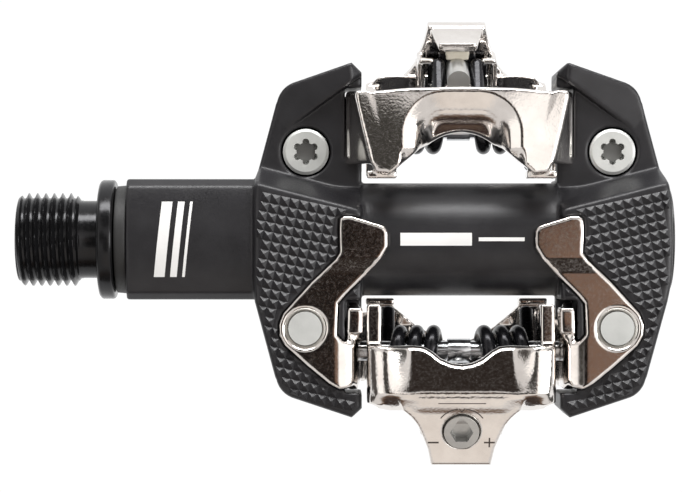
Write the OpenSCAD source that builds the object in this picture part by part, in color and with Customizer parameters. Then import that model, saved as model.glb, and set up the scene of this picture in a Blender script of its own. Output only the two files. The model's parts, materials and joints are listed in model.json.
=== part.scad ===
// Double-sided clipless mountain bike pedal.
// X runs outwards along the spindle axis from the shoulder that meets the crank,
// Y runs forwards and Z up. The pedal is the same on both faces: turning it half
// a turn about the spindle swaps its front cartridge and its rear one.

/* [Spindle] */
// Outer diameter of the crank thread
thread_d = 14.2; // [13.5:0.1:14.4]
// Length of the crank thread, up to the neck
thread_length = 10.2; // [9:0.1:10.2]
// Diameter of the flange that stops against the crank
flange_d = 18; // [17:0.1:18.4]
// Width across the flats of the key socket in the spindle's end
key_af = 8; // [6:0.5:8]

/* [Body] */
// Distance from the crank shoulder to the middle of the cleat
cleat_x = 54.2; // [53:0.1:55]
// Diameter of the round barrel between the wings
barrel_d = 17; // [16.8:0.1:17.4]
// Width of the flat-sided barrel next to the crank
neck_w = 18; // [17.6:0.1:18.2]
// Length of each wing's edge facing the cleat, to either side of the axis
wing_y = 25.1; // [24.5:0.1:26]

/* [Claws] */
// Height of the claws above the spindle axis
claw_top = 12.6; // [12.2:0.1:13]
// Distance from the spindle axis to the claw pivots
pivot_y = 16.8; // [16.6:0.1:17]
// Slope of the sprung claw's tail in degrees
tail_slope = 23; // [22:0.5:24]
// Wire diameter of the torsion springs
wire_d = 2.1; // [1.8:0.1:2.1]

/* [Hidden] */
$fn = 48;
fit = 0.05;
gap = 0.1;
past = 20;

pivot_z = 1;
pin_r = 1.5;
pin_half = 17;
barrel_r = barrel_d / 2;
neck_start = 4.4;
wing_outer = 30.8;
wing_inner = 14.7;
slot_wall = 17.2;
cap_bulge = 0.65;
tip_z = 8.2;
pocket_z = 2.4;
step_y = 4.3;
step_run = 2.5;
step_turn = 14.4;
rim_slope = 10;

screw_u = 23.1;
screw_y = 13.2;
screw_r = 2.5;
screw_head_r = 3.45;
screw_head_h = 2.3;

plate_t = 1.5;
plate_top = 9.5;
tongue_lift = 0.35;
tongue_y = -4;
wall_in = 15.2;
wall_out = 16.8;

ear_in = 11.8;
ear_out = 14;
tail_y = -28.4;
tail_z = 9.7;
tail_t = 1.8;
tension_r = 1.75;
tension_length = 11.8;
tension_plate_z = -3.4;
tension_plate_t = 2;

spring_r = 2.85;
spring_start = 2.95;
spring_end = 10.6;
coil_step = 20;
wire_sides = 10;
spring_turns = 3;
tail_leg_angle = 30;
tail_leg = 10;
stop_leg_angle = 28;
stop_leg = 8.2;

tip_x = -12.3;
neck_r = 5.85;
flange_w = 2.4;
bore_r = 7;
shaft_r = 4.6;
journal_r = 5;
needle_r = 0.74;
needle_pitch_r = 5.76;
needle_count = 18;
needle_x = 6.4;
needle_length = 11;
bearing_x = 70;
bearing_w = 4.9;
bearing_r = 6.5;
bearing_bore_r = 3;
ball_r = 0.88;
ball_pitch_r = 4.75;
ball_count = 10;
seal_x = 83.3;
seal_r = 0.3;

// ---------- helpers ----------

// Turns a rear, upper piece into its front, lower twin.
module turned() {
    rotate([180, 0, 0]) children();
}

// Draws a piece given for +u on both sides of the cleat's centre line.
module both_sides() {
    translate([cleat_x, 0, 0]) {
        children();
        mirror([1, 0, 0]) children();
    }
}

// A cylinder along X from x0 to x1.
module rod(x0, x1, r) {
    translate([x0, 0, 0]) rotate([0, 90, 0]) cylinder(r = r, h = x1 - x0);
}

// A cone along X from x0 to x1.
module cone(x0, x1, r0, r1) {
    translate([x0, 0, 0]) rotate([0, 90, 0]) cylinder(r1 = r0, r2 = r1, h = x1 - x0);
}

// A tube along X from x0 to x1.
module tube(x0, x1, r_out, r_in) {
    difference() {
        rod(x0, x1, r_out);
        rod(x0 - 1, x1 + 1, r_in);
    }
}

// Extrudes a (y, z) outline along X from x0 to x1.
module along_x(x0, x1) {
    translate([x0, 0, 0]) rotate([90, 0, 90]) linear_extrude(x1 - x0) children();
}

// Extrudes a (u, y) outline in Z from z0 to z1.
module upright(z0, z1) {
    translate([0, 0, z0]) linear_extrude(z1 - z0) children();
}

// Places children on the sloping tail of the rear claw, Z outwards.
module on_tail() {
    translate([cleat_x, tail_y, tail_z]) rotate([tail_slope, 0, 0]) children();
}

function arc(centre, r, a0, a1, n) =
    [for (i = [0 : n]) centre + r * [cos(a0 + (a1 - a0) * i / n), sin(a0 + (a1 - a0) * i / n)]];

function mirrored_y(points) = [for (i = [len(points) - 1 : -1 : 0]) [points[i][0], -points[i][1]]];

// ---------- spindle and bearings ----------

module spindle() {
    color("#1b1b1e") difference() {
        union() {
            cone(tip_x, tip_x + 0.8, thread_d / 2 - 0.8, thread_d / 2);
            rod(tip_x + 0.8, tip_x + thread_length, thread_d / 2);
            rod(tip_x, 3, neck_r);
            rod(0, flange_w, flange_d / 2);
            rod(2, 5.9, 6);
            rod(5, 19, journal_r);
            cone(19, 20, journal_r, shaft_r);
            rod(19.9, bearing_x, shaft_r);
            rod(bearing_x - 1, 84.2, bearing_bore_r);
        }
        rod(tip_x - 1, tip_x + 7, key_af / sqrt(3), $fn = 6);
        // relief in the flange face around the neck
        tube(-0.01, 0.3, neck_r + 0.55, neck_r);
    }
}

module spindle_locknut() {
    color("#8c8d90") translate([bearing_x + 2 * bearing_w + 0.7, 0, 0]) rotate([0, 90, 0])
        difference() {
            cylinder(r = 5 / cos(30), h = 3.2, $fn = 6);
            translate([0, 0, -1]) cylinder(r = bearing_bore_r + 0.02, h = 6);
        }
}

// Cross-section of a bearing ring with its ball groove, turned about X.
module ring_set(r_out, r_in) {
    for (i = [0, 1])
        translate([bearing_x + (i + 0.5) * bearing_w, 0, 0]) rotate([0, 90, 0]) rotate_extrude()
            difference() {
                translate([r_in, -bearing_w / 2 + 0.02])
                    square([r_out - r_in, bearing_w - 0.04]);
                translate([ball_pitch_r, 0]) circle(r = ball_r + 0.04, $fn = 32);
            }
}

module bearing_inner_rings() {
    color("#b9bcc0") ring_set(4.25, bearing_bore_r + 0.01);
}

module bearing_outer_rings() {
    color("#b9bcc0") ring_set(bearing_r - 0.01, 5.25);
}

module bearing_balls() {
    color("#d5d7da") for (i = [0, 1], k = [0 : ball_count - 1])
        translate([bearing_x + (i + 0.5) * bearing_w, 0, 0]) rotate([k * 360 / ball_count, 0, 0])
            translate([0, 0, ball_pitch_r]) sphere(r = ball_r, $fn = 24);
}

module bearing_spacer() {
    x0 = bearing_x + 2 * bearing_w + 0.05;
    color("#9a9b9e") tube(x0, x0 + 0.6, 4.3, bearing_bore_r + 0.02);
}

module needle_shell() {
    color("#8f9194") {
        tube(needle_x - 0.5, needle_x + needle_length + 0.5, bore_r - 0.01, needle_pitch_r + needle_r + 0.02);
    }
}

module needle_rollers() {
    color("#c8cacd") for (k = [0 : needle_count - 1])
        rotate([k * 360 / needle_count, 0, 0]) translate([0, 0, needle_pitch_r])
            rod(needle_x, needle_x + needle_length, needle_r, $fn = 24);
}

module inner_seal() {
    color("#161617") difference() {
        union() {
            cone(flange_w + 0.2, neck_start - 0.1, 8.05, 8.2);
            rod(neck_start - 0.2, 5.9, bore_r - 0.02);
        }
        rod(1, 7, 6 + fit);
    }
}

// ---------- body ----------

// Plan of one wing half (y > 0), from the middle of its outer edge to its inner edge.
module wing_plan(bulge) {
    half = [
        [wing_outer + bulge, 0], [wing_outer + bulge * 0.7, 6], [30.6, 9.2], [27.6, 20.4],
        each arc([23.7, 20], 3.8, 12, 68, 6), [16.2, wing_y + 1.4], [wing_inner, wing_y]
    ];
    polygon(concat(half, mirrored_y(half)));
}

// Side view of a wing, before its thinner end is cut.
module wing_side() {
    top = [[26.9, tip_z], [9, 9.2], [-9, 9.2], [-26.9, tip_z]];
    polygon(concat(top, [for (p = top) -p]));
}

module neck_profile() {
    crown_r = 22;
    crown_z = 8.3;
    intersection() {
        polygon([for (s = [[1, 1], [-1, 1], [-1, -1], [1, -1]])
            each s[0] * s[1] > 0
                ? [[s[0] * neck_w / 2, s[1] * 5.4], [s[0] * 7.9, s[1] * 6.85], [0, s[1] * 12]]
                : [[0, s[1] * 12], [s[0] * 7.9, s[1] * 6.85], [s[0] * neck_w / 2, s[1] * 5.4]]]);
        translate([0, crown_z - crown_r]) circle(r = crown_r, $fn = 180);
        translate([0, crown_r - crown_z]) circle(r = crown_r, $fn = 180);
    }
}

module wings() {
    for (side = [1, -1])
        intersection() {
            translate([cleat_x, 0, 0]) scale_x(side) upright(-past, past)
                wing_plan(side > 0 ? cap_bulge : 0);
            along_x(-past, 6 * past) wing_side();
        }
}

// Raised rim outside the front pocket, highest at the wing's inner tip.
module front_rim(bulge) {
    rim_turn = atan2(16.3 - 22.5, 26.2 - 17.6);
    intersection() {
        upright(-5, past) wing_plan(bulge);
        translate([17.6, 22.5, 0]) rotate([0, 0, rim_turn]) translate([-10, 0, -5])
            cube([30, past, past]);
        translate([26.2, 16.3, pocket_z]) rotate([0, 0, rim_turn]) rotate([0, rim_slope, 0])
            translate([-40, -past, -past]) cube([80, 2 * past, past]);
        // chamfer along the tip's inner edge
        translate([wing_inner, 0, 3]) rotate([0, -40, 0]) translate([0, 0, -past])
            cube([60, 40, past]);
    }
}

module scale_x(side) {
    if (side > 0) children();
    else mirror([1, 0, 0]) children();
}

// What the step down from the tread to the pocket around the screw head removes.
module front_step() {
    translate([wing_inner, step_y, 0]) rotate([0, 0, step_turn]) translate([-5, 0, 0]) hull() {
        translate([0, step_run, pocket_z]) cube([40, past, past]);
        translate([0, 0, 9.3]) cube([40, past, past]);
    }
}

// What the arm slots, the frame screws and the tread plates remove from a wing.
module front_cuts() {
    // slot for the claw frame's arm
    translate([wing_inner - 1, 12.2, -past]) cube([slot_wall - wing_inner + 1, 10.6, 2 * past]);
    // the slot is longer where the tread plate's arm passes
    translate([wing_inner - 1, 9, -past]) cube([slot_wall - wing_inner + 1, 4, past - 1]);
    // counterbore and hole for the frame screw
    translate([screw_u, screw_y, pocket_z - screw_head_h]) cylinder(r = 3.75, h = past);
    translate([screw_u, screw_y, -past]) cylinder(r = screw_r + 0.2, h = 2 * past);
    // recess under the lower tread plate
    mirror([0, 1, 0]) mirror([0, 0, 1]) tread_recess();
}

module pedal_body() {
    color("#3b3a40") difference() {
        union() {
            along_x(neck_start, 26) neck_profile();
            rod(24, 84, barrel_r - 0.4, $fn = 120);
            rod(cleat_x - wing_inner - 0.1, cleat_x + wing_inner + 0.1, barrel_r, $fn = 120);
            difference() {
                wings();
                both_sides() front_step();
                turned() both_sides() front_step();
            }
        }
        rod(neck_start - 1, 18, bore_r);
        rod(17, bearing_x, 5.4);
        rod(bearing_x - 0.01, bearing_x + 2 * bearing_w + 1.4, bearing_r);
        rod(bearing_x + 2 * bearing_w + 1.4, 90, bore_r);
        rod(84.7, 90, 7.8);
        both_sides() front_cuts();
        turned() both_sides() front_cuts();
    }
    color("#3b3a40") for (side = [1, -1])
        translate([cleat_x, 0, 0]) scale_x(side) {
            front_rim(side > 0 ? cap_bulge : 0);
            turned() front_rim(side > 0 ? cap_bulge : 0);
        }
}

module end_cap() {
    color("#2b2b2f") difference() {
        union() {
            rod(84.75, 86, 7.7);
            rod(82.2, 84.8, bore_r - 0.02);
        }
        // groove for the sealing ring
        translate([seal_x, 0, 0]) rotate([0, 90, 0]) rotate_extrude()
            translate([bore_r - 2 * seal_r - 0.04, -seal_r - 0.03]) square([1, 2 * seal_r + 0.06]);
        // socket for the cap key
        rod(85.05, 88, 4.6, $fn = 8);
        // room for the spindle's end and its nut
        rod(81, 84.5, 5.95);
    }
}

module end_cap_o_ring() {
    color("#161617") translate([seal_x, 0, 0]) rotate([0, 90, 0]) rotate_extrude()
        translate([bore_r - seal_r - 0.03, 0]) circle(r = seal_r, $fn = 24);
}

// ---------- claw frames ----------

// Plan of the right-hand upper tread plate behind the axis.
module tread_plan() {
    polygon([
        [18, 3], [17.3, 3.46], [16.35, 3.46], [12.3, 2.26], [11.4, 1.9], [10.9, 1.17],
        [10.9, -1.2], [11.8, -2.7], [13.2, -4.3], [17.3, -8.4], [18.2, -9.5], [18.4, -14.1],
        [17.6, -15], [wall_in, -15.2], [wall_in, -21.4], [16.2, -22.2], [18, -22.2],
        [19.5, -21.4], [22.8, -18.7], [26.1, -15.7], [26.9, -14.3], [27, -12.6],
        [26.4, -11], [22.2, -6.35], [18.7, -3.05], [18, -1.96], [18.1, 1.35]
    ]);
}

module tongue_zone() {
    translate([0, tongue_y]) square([40, 20]);
}

module tread_plate() {
    upright(plate_top - plate_t, plate_top) difference() {
        tread_plan();
        tongue_zone();
    }
    upright(plate_top - plate_t + tongue_lift, plate_top + tongue_lift) intersection() {
        tread_plan();
        tongue_zone();
    }
    // joggle between the two levels
    upright(plate_top - plate_t, plate_top + tongue_lift) intersection() {
        tread_plan();
        translate([0, tongue_y - 0.6]) square([40, 0.9]);
    }
}

module tread_recess() {
    upright(plate_top - plate_t - gap, past) difference() {
        offset(delta = gap) tread_plan();
        translate([0, tongue_y + 0.5]) square([40, 20]);
    }
    upright(plate_top - plate_t + tongue_lift - gap, past) intersection() {
        offset(delta = gap) tread_plan();
        tongue_zone();
    }
}

// Plan of the fixed claw, right half, in front of the axis.
module fixed_claw_plan() {
    polygon(concat(
        [[-0.01, 22.4], [8, 22.2], [15.8, 21.5], [13, 10.4], [12.6, 9.9], [10.4, 9.6], [6.1, 13.4]],
        arc([0, 8.4], 7.4, 50, 90.1, 8)
    ));
}

module fixed_claw_half() {
    lip_z = 9.9;
    difference() {
        upright(9.3, claw_top) fixed_claw_plan();
        // guiding ramp that rolls down to the lip
        translate([-1, 19.6, claw_top]) rotate([34, 0, 0]) translate([0, -past, 0])
            cube([9.5, past, past / 2]);
    }
    // folded end of the leg, which stops the spring
    translate([9.6, 9, 6.8]) cube([4.4, 1, 3.9]);
    // shoulder from the claw down to the arm
    hull() {
        translate([12.9, 12.4, 9.6]) cube([0.5, 0.5, 2.4]);
        translate([15.2, 21, 9.6]) cube([0.5, 0.4, 2.8]);
        translate([wall_in, 12.4, 7.4]) cube([wall_out - wall_in, 9.4, 0.6]);
    }
}

module frame_arm() {
    difference() {
        along_x(wall_in, wall_out) polygon([
            [12.5, 8], [21.8, 8], [22.3, 6], [22.3, -6.8], [21.4, 0.2 - plate_top],
            [15.2, 0.2 - plate_top], [14.4, -8.8], [10.4, -8.2], [9.4, -6.8], [9.6, -5.4],
            [12.5, -2.8]
        ]);
        translate([0, pivot_y, -pivot_z]) rod(wall_in - 1, wall_out + 1, pin_r + 0.02);
    }
}

module front_frame() {
    both_sides() difference() {
        union() {
            fixed_claw_half();
            frame_arm();
            turned() tread_plate();
        }
        // threaded hole with its countersink
        translate([screw_u, screw_y, -past]) cylinder(r = screw_r + 0.02, h = past);
        translate([screw_u, screw_y, -plate_top - 0.01]) cylinder(r1 = 3.25, r2 = screw_r, h = 0.7);
    }
}

module front_claw_frame() { color("#c9c5bf") front_frame(); }
module rear_claw_frame() { color("#c9c5bf") turned() front_frame(); }

module frame_screw_pair() {
    both_sides() translate([screw_u, screw_y, pocket_z]) difference() {
        union() {
            translate([0, 0, -screw_head_h + 0.05]) cylinder(r = screw_head_r, h = screw_head_h - 0.3);
            translate([0, 0, -0.26]) cylinder(r1 = screw_head_r, r2 = screw_head_r - 0.4, h = 0.26);
            translate([0, 0, -plate_top - pocket_z + 0.2])
                cylinder(r = screw_r, h = plate_top + pocket_z - 1);
        }
        // six-lobed socket
        translate([0, 0, -2]) cylinder(r = 1.4, h = 3);
        for (a = [30 : 60 : 330])
            rotate([0, 0, a]) translate([1.45, 0, -2]) cylinder(r = 0.52, h = 3, $fn = 20);
    }
}

module front_frame_screws() { color("#d2d3d5") frame_screw_pair(); }
module rear_frame_screws() { color("#d2d3d5") turned() frame_screw_pair(); }

// ---------- pivots and springs ----------

module rear_pin() {
    translate([0, -pivot_y, pivot_z]) rod(cleat_x - pin_half, cleat_x + pin_half, pin_r);
}

module rear_sleeve() {
    translate([0, -pivot_y, pivot_z]) tube(cleat_x - 1.75, cleat_x + 1.75, 1.83, pin_r + 0.03);
}

module rear_pivot_pin() { color("#a9abae") rear_pin(); }
module front_pivot_pin() { color("#a9abae") turned() rear_pin(); }
module rear_spring_sleeve() { color("#c9cbce") rear_sleeve(); }
module front_spring_sleeve() { color("#c9cbce") turned() rear_sleeve(); }

// Point on the coil at angle a (in the y-z plane) and distance u from the centre.
function on_coil(a, u) = [u, spring_r * cos(a), spring_r * sin(a)];
function coil_way(a) = [0, -sin(a), cos(a)];

leg_in = 270 - tail_leg_angle;
leg_out = 270 - stop_leg_angle + 360 * spring_turns;
coil_rings = ceil((leg_out - leg_in) / coil_step);
coil_points = [for (i = [0 : coil_rings])
    on_coil(leg_in + (leg_out - leg_in) * i / coil_rings,
        spring_start + (spring_end - spring_start) * i / coil_rings)];
spring_path = concat(
    [coil_points[0] - tail_leg * coil_way(leg_in)],
    coil_points,
    [coil_points[coil_rings] + stop_leg * coil_way(leg_out)]
);
function path_way(i) =
    let (a = spring_path[max(i - 1, 0)], b = spring_path[min(i + 1, len(spring_path) - 1)])
    (b - a) / norm(b - a);
// One side of the wire's ring: the X axis is never along the wire, so it can start from it.
function ring_point(i, k) =
    let (t = path_way(i), v = cross(t, [1, 0, 0]), s = v / norm(v), w = cross(s, t),
        a = 360 * k / wire_sides)
    spring_path[i] + wire_d / 2 * (cos(a) * s + sin(a) * w);

module spring() {
    n = len(spring_path);
    m = wire_sides;
    polyhedron(
        points = [for (i = [0 : n - 1], k = [0 : m - 1]) ring_point(i, k)],
        faces = concat(
            [[for (k = [0 : m - 1]) k]],
            [for (i = [0 : n - 2], k = [0 : m - 1])
                [i * m + k, (i + 1) * m + k, (i + 1) * m + (k + 1) % m, i * m + (k + 1) % m]],
            [[for (k = [m - 1 : -1 : 0]) (n - 1) * m + k]]
        )
    );
}

module spring_pair() {
    translate([0, -pivot_y, pivot_z]) both_sides() spring();
}

module rear_springs() { color("#1e1e20") spring_pair(); }
module front_springs() { color("#1e1e20") turned() spring_pair(); }

// ---------- sprung claw and its tension screw ----------

// Plan of the claw's head, right half.
module claw_head_plan() {
    polygon([
        [-0.01, -18.45], [1.5, -18.25], [3, -17.6], [4.4, -16.5], [5.6, -15.85], [7, -15.7],
        [13.6, -15.7], [ear_out, -16.2], [ear_out, -23.6], [12.8, -24.9], [11, -25.1],
        [-0.01, -25.1]
    ]);
}

module ear_side() {
    polygon(concat(
        [[-9.7, 8], [-9.7, 6.4]],
        arc([-pivot_y, pivot_z], 3.9, 20, -190, 14),
        [[-22, 6], [-24.3, 9.4], [-24.3, 11.6], [-16.2, 11.6], [-15.4, 8.2]]
    ));
}

module tail_plan() {
    half = [
        [4.4, -5.6], [5, -2.83], [5.8, -0.65], [6.5, 0.98], [8, 2.6], [9.6, 3.26], [9.6, 5.2]
    ];
    polygon(concat(half, [for (i = [len(half) - 1 : -1 : 0]) [-half[i][0], half[i][1]]]));
}

module rear_claw() {
    difference() {
        union() {
            both_sides() {
                difference() {
                    upright(9.4, claw_top) claw_head_plan();
                    translate([-1, -23.2, claw_top]) rotate([-26, 0, 0])
                        cube([8.7, past, past / 2]);
                }
                along_x(ear_in, ear_out) ear_side();
            }
            on_tail() {
                upright(-tail_t, 0) tail_plan();
                // folded end of the tail
                along_x(-3.7, 3.7) polygon([[-5.6, -0.6], [-4.2, -0.6], [-3.2, -7], [-4.4, -7]]);
                // cheeks that keep the tension plate from turning
                for (x = [-6.2, 5.2])
                    translate([x, -0.4, -6.6]) cube([1, 4.6, 5.6]);
            }
        }
        translate([0, -pivot_y, pivot_z]) rod(cleat_x - 20, cleat_x + 20, pin_r + fit);
        on_tail() {
            translate([0, 0, -1]) cylinder(r = 2.75, h = 5);
            translate([0, 0, -5]) cylinder(r = tension_r + 0.1, h = 6);
        }
    }
}

module top_claw() { color("#cbc6bf") rear_claw(); }
module bottom_claw() { color("#cbc6bf") turned() rear_claw(); }

module tension_screw() {
    on_tail() difference() {
        union() {
            translate([0, 0, -0.95]) cylinder(r = 2.6, h = 1.35);
            translate([0, 0, -tension_length]) cylinder(r = tension_r, h = tension_length - 0.5);
        }
        translate([0, 0, -1.2]) cylinder(r = 3 / sqrt(3), h = 3, $fn = 6);
    }
}

module top_tension_screw() { color("#8f8f90") tension_screw(); }
module bottom_tension_screw() { color("#8f8f90") turned() tension_screw(); }

module tension_plate() {
    on_tail() difference() {
        union() {
            translate([-5, -2.2, tension_plate_z - tension_plate_t]) cube([10, 4.8, tension_plate_t]);
            // nose that shows the setting
            translate([-1.75, -2.85, tension_plate_z - tension_plate_t - 0.5]) cube([3.5, 1, 2.2]);
        }
        translate([0, 0, -past]) cylinder(r = tension_r + fit, h = past);
    }
}

module top_tension_plate() { color("#d8d2c4") tension_plate(); }
module bottom_tension_plate() { color("#d8d2c4") turned() tension_plate(); }

spindle();
spindle_locknut();
bearing_inner_rings();
bearing_balls();
bearing_outer_rings();
bearing_spacer();
needle_shell();
needle_rollers();
inner_seal();
pedal_body();
end_cap();
end_cap_o_ring();
front_claw_frame();
rear_claw_frame();
front_frame_screws();
rear_frame_screws();
front_pivot_pin();
rear_pivot_pin();
front_spring_sleeve();
rear_spring_sleeve();
front_springs();
rear_springs();
top_claw();
bottom_claw();
top_tension_screw();
bottom_tension_screw();
top_tension_plate();
bottom_tension_plate();
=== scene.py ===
"""The looks of a double-sided clipless pedal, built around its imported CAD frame.

The visible metal pieces are solids described by signed distances in millimetres, so that
every edge is rounded, and each is turned into a mesh that lies on the zero level. Knurling,
springs and the threaded spindle are meshed directly. u is the distance from the cleat's
centre line along X. What is on both faces is described once, and turned half a turn about
the spindle for the other face.
"""
import json
import math

import bpy
import numpy as np
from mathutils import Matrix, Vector


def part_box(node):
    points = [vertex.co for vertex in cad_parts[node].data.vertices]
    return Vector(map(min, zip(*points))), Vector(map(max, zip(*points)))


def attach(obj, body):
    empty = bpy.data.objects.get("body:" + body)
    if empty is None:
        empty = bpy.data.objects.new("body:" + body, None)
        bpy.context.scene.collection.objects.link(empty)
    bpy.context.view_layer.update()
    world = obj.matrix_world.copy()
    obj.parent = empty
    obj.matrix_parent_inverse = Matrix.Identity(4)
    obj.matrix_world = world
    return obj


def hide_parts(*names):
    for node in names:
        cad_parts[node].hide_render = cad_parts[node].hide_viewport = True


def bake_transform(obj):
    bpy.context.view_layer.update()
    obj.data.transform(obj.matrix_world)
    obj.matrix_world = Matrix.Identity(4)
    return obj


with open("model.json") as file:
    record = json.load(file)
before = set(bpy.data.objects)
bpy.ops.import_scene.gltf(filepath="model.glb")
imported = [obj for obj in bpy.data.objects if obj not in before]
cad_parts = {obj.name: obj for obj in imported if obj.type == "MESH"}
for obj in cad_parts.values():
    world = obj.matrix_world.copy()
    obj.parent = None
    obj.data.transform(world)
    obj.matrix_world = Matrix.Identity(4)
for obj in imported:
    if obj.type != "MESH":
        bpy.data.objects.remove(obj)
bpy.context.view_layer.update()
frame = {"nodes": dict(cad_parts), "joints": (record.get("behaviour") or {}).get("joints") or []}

MM = 0.001


def box_mm(node):
    low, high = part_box(node)
    return np.array(low) / MM, np.array(high) / MM


def joint(name):
    return next(j for j in frame["joints"] if j["name"] == name)


# ---------- sizes taken from the frame, in millimetres ----------

CLAW_LOW, CLAW_HIGH = box_mm("top_claw")
BODY_LOW, BODY_HIGH = box_mm("pedal_body")
SPINDLE_LOW = box_mm("spindle")[0]
PIVOT = np.array(joint("top_claw_open")["pos_m"]) / MM
XC = PIVOT[0]
PIVOT_Y = -PIVOT[1]
PIVOT_Z = PIVOT[2]
CLAW_TOP = CLAW_HIGH[2]
TAIL = np.array(joint("top_tension_turn")["pos_m"]) / MM
TAIL_AXIS = np.array(joint("top_tension_turn")["axis"])
TAIL_COS, TAIL_SIN = TAIL_AXIS[2], -TAIL_AXIS[1]

# wings: inner and outer edge, inner corner of the tips, and the outer wing's extra reach
WING_IN, WING_OUT, WING_Y = 14.7, 30.8, 25.1
CAP_BULGE = 0.65
# wings: height of the tread in the middle and at the tips, and of the pocket's floor
LAND_Z, TIP_Z, POCKET_Z = 9.2, 8.2, 2.4
# half the width of the slot that the claw frames stand in
SLOT_WALL = 17.2
# frame screws: place, radius of the head's room and of the hole
SCREW_U, SCREW_Y = 23.1, 13.2
HEAD_ROOM_R, SCREW_HOLE_R = 3.75, 2.7
# tread plates: top, thickness, and the raised tongue past its joggle
PLATE_TOP, PLATE_T = 9.5, 1.5
TONGUE_LIFT, TONGUE_Y = 0.35, -4.0
JOGGLE_Y, JOGGLE_RUN = 5.0, 2.2
# barrel between the wings, and the crowned neck towards the crank
BARREL_R = 8.5
CROWN_R, CROWN_Z = 22.0, 8.3
# arms of the claw frames, and ears of the sprung claws
WALL_IN, WALL_OUT = 15.2, 16.8
EAR_IN, EAR_OUT = 11.8, 14.0
# springs: radius of the wire and of the coil, number of coils, and a coil's two ends in u
WIRE_R, COIL_R, COILS = 1.05, 2.85, 3
COIL_IN, COIL_OUT = 2.95, 10.6


# ---------- signed distances ----------

def smin(a, b, k):
    """Union of two solids with a fillet of about k between them."""
    h = np.clip(0.5 + 0.5 * (b - a) / k, 0, 1)
    return b * (1 - h) + a * h - k * h * (1 - h)


def smax(a, b, k):
    """Intersection of two solids with its edge rounded by about k."""
    return -smin(-a, -b, k)


def cut(a, b, k=0.3):
    """Solid a without solid b."""
    return smax(a, -b, k)


def smooth_step(a, b, x):
    """0 before a, 1 past b, and smooth between them."""
    t = np.clip((x - a) / (b - a), 0, 1)
    return t * t * (3 - 2 * t)


def polygon(points, x, y):
    """Signed distance to a closed outline, negative inside."""
    points = np.array(points, float)
    best = np.full(np.broadcast(x, y).shape, np.inf)
    inside = np.zeros(best.shape, bool)
    for (ax, ay), (bx, by) in zip(points, np.roll(points, -1, axis=0)):
        ex, ey = bx - ax, by - ay
        wx, wy = x - ax, y - ay
        t = np.clip((wx * ex + wy * ey) / (ex * ex + ey * ey), 0, 1)
        best = np.minimum(best, (wx - t * ex) ** 2 + (wy - t * ey) ** 2)
        if ay != by:
            crosses = ((ay > y) != (by > y)) & (x < (bx - ax) * (y - ay) / (by - ay) + ax)
            inside ^= crosses
    return np.where(inside, -1, 1) * np.sqrt(best)


def slab(v, low, high):
    """Signed distance to the layer between low and high."""
    return np.abs(v - (low + high) / 2) - (high - low) / 2


def block(x, y, z, low, high, k=0.4):
    """A box from low to high with rounded edges."""
    d = smax(slab(x, low[0], high[0]), slab(y, low[1], high[1]), k)
    return smax(d, slab(z, low[2], high[2]), k)


def disc(a, b, ca, cb, r):
    """Signed distance to a cylinder of radius r through (ca, cb)."""
    return np.sqrt((a - ca) ** 2 + (b - cb) ** 2) - r


def on_tail(y, z):
    """Tail coordinates of the upper sprung claw: along the slope, and out of its surface."""
    dy, dz = y - TAIL[1], z - TAIL[2]
    return dy * TAIL_COS + dz * TAIL_SIN, -dy * TAIL_SIN + dz * TAIL_COS


# ---------- turning a signed distance into a mesh ----------

# step over which a slope is measured, and room kept around a solid while it is meshed
PROBE = 0.01
SPARE = 0.6


def net(solid, low, high, step):
    """Vertices and quads of the surface where solid(x, y, z) is zero, by surface nets."""
    low, high = np.array(low, float), np.array(high, float)
    counts = np.ceil((high - low) / step).astype(int) + 1
    axes = [(low[i] + step * np.arange(counts[i])) for i in range(3)]
    grid = np.meshgrid(*axes, indexing="ij", sparse=True)
    f = np.broadcast_to(solid(*grid), counts)
    f = np.ascontiguousarray(f, dtype=float)
    inside = f < 0
    total = np.zeros(tuple(counts - 1) + (3,))
    number = np.zeros(tuple(counts - 1), np.int16)
    edges = []
    for a in range(3):
        first = [slice(None)] * 3
        second = [slice(None)] * 3
        first[a], second[a] = slice(None, -1), slice(1, None)
        first, second = tuple(first), tuple(second)
        where = np.argwhere(inside[first] != inside[second])
        i, j, k = where.T
        f0 = f[first][i, j, k]
        f1 = f[second][i, j, k]
        point = where.astype(float)
        point[:, a] += f0 / (f0 - f1)
        b, c = [n for n in range(3) if n != a]
        edges.append((a, b, c, where, inside[first][i, j, k]))
        for db in (0, 1):
            for dc in (0, 1):
                cell = where.copy()
                cell[:, b] -= db
                cell[:, c] -= dc
                good = (cell >= 0).all(1) & (cell < counts - 1).all(1)
                key = tuple(cell[good].T)
                np.add.at(total, key, point[good])
                np.add.at(number, key, 1)
    used = number > 0
    index = np.full(number.shape, -1)
    index[used] = np.arange(used.sum())
    v = low + step * total[used] / number[used][:, None]
    quads = []
    for a, b, c, where, solid_first in edges:
        good = (where[:, b] > 0) & (where[:, c] > 0)
        good &= (where[:, b] < counts[b] - 1) & (where[:, c] < counts[c] - 1)
        w, s = where[good], solid_first[good]
        ring = []
        for db, dc in ((1, 1), (0, 1), (0, 0), (1, 0)):
            cell = w.copy()
            cell[:, b] -= db
            cell[:, c] -= dc
            ring.append(index[tuple(cell.T)])
        q = np.stack(ring, 1)
        flip = s if a != 1 else ~s
        q[~flip] = q[~flip][:, ::-1]
        quads.append(q)
    return settle(solid, v, step), np.concatenate(quads)


def settle(solid, v, step, rounds=3):
    """Moves the vertices onto the zero level along the slope of the distance."""
    least_slope, reach = 0.25, 0.6 * step
    start = v.copy()
    for _ in range(rounds):
        x, y, z = v.T
        f = solid(x, y, z)
        ahead = [solid(x + PROBE, y, z), solid(x, y + PROBE, z), solid(x, y, z + PROBE)]
        g = np.stack([d - f for d in ahead], 1) / PROBE
        v = v - (f / np.maximum((g * g).sum(1), least_slope))[:, None] * g
        v = start + np.clip(v - start, -reach, reach)
    return v


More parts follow.
